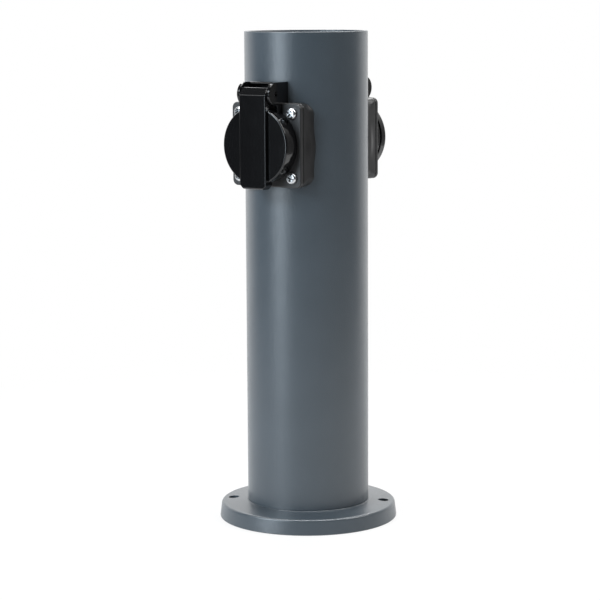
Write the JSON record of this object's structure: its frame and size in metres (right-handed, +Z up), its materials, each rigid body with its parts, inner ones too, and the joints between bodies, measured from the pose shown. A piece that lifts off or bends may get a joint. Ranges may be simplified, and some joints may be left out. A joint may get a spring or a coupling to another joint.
{
  "type": "garden socket",
  "caption": "Round garden power pillar on a bolt-down base, with hinged-lid outdoor sockets on opposite sides.",
  "frame": {"origin": "centre of the base's ground face, on the pillar's axis", "axes": "+Z up along the pillar, -Y out of the front socket, +X to the right of someone facing it"},
  "size_m": [0.11, 0.1116, 0.3],
  "materials": {
    "powder_coat": "fine-textured satin powder coat, dark blue-grey",
    "black_plastic": "moulded, satin",
    "frame_plastic": "moulded, satin dark grey",
    "white_plastic": "moulded, dull",
    "zinc": "bright zinc plate",
    "brass": "bare, drawn",
    "black_rubber": "dull",
    "brown_pvc": "wire insulation",
    "blue_pvc": "wire insulation",
    "green_yellow_pvc": "wire insulation, green and yellow"
  },
  "bodies": {
    "pillar": {"base_flange": "powder_coat", "tube": "powder_coat", "top_cap": "powder_coat", "tube_nuts": "zinc", "base_screws": "zinc", "cap_seal": "black_rubber", "gland_body": "black_plastic", "gland_nut": "black_plastic", "gland_seal": "black_rubber", "gland_washer": "black_rubber", "gland_locknut": "black_plastic", "terminal_bracket": "zinc", "bracket_screws": "zinc", "terminal_block": "white_plastic", "terminal_clamps": "brass", "block_screws": "zinc", "earth_lug": "zinc", "earth_screw": "zinc", "brown_wires": "brown_pvc", "blue_wires": "blue_pvc", "earth_wires": "green_yellow_pvc", "front_housing": "black_plastic", "front_insert": "white_plastic", "front_carrier": "white_plastic", "front_insert_cover": "white_plastic", "front_contacts": "brass", "front_earth_clip": "brass", "front_terminal_screws": "zinc", "front_flange_screws": "zinc", "front_frame": "frame_plastic", "front_frame_gasket": "black_rubber", "front_flange_gasket": "black_rubber", "front_hinge_pin": "zinc", "front_lid_spring": "zinc", "rear_housing": "black_plastic", "rear_insert": "white_plastic", "rear_carrier": "white_plastic", "rear_insert_cover": "white_plastic", "rear_contacts": "brass", "rear_earth_clip": "brass", "rear_terminal_screws": "zinc", "rear_flange_screws": "zinc", "rear_frame": "frame_plastic", "rear_frame_gasket": "black_rubber", "rear_flange_gasket": "black_rubber", "rear_hinge_pin": "zinc", "rear_lid_spring": "zinc"},
    "front_lid": {"front_lid": "black_plastic", "front_lid_seal": "black_rubber"},
    "rear_lid": {"rear_lid": "black_plastic", "rear_lid_seal": "black_rubber"}
  },
  "joints": [
    {"name": "front_lid_hinge", "type": "hinge", "parent": "pillar", "child": "front_lid", "pos_m": [0, -0.048, 0.264], "axis": [-1, 0, 0], "range_deg": [0, 95], "stiffness_Nm_per_rad": 0.02, "springref_deg": -28.65, "deforming": ["front_lid_spring"]},
    {"name": "rear_lid_hinge", "type": "hinge", "parent": "pillar", "child": "rear_lid", "pos_m": [0, 0.048, 0.264], "axis": [1, 0, 0], "range_deg": [0, 95], "stiffness_Nm_per_rad": 0.02, "springref_deg": -28.65, "deforming": ["rear_lid_spring"]}
  ]
}
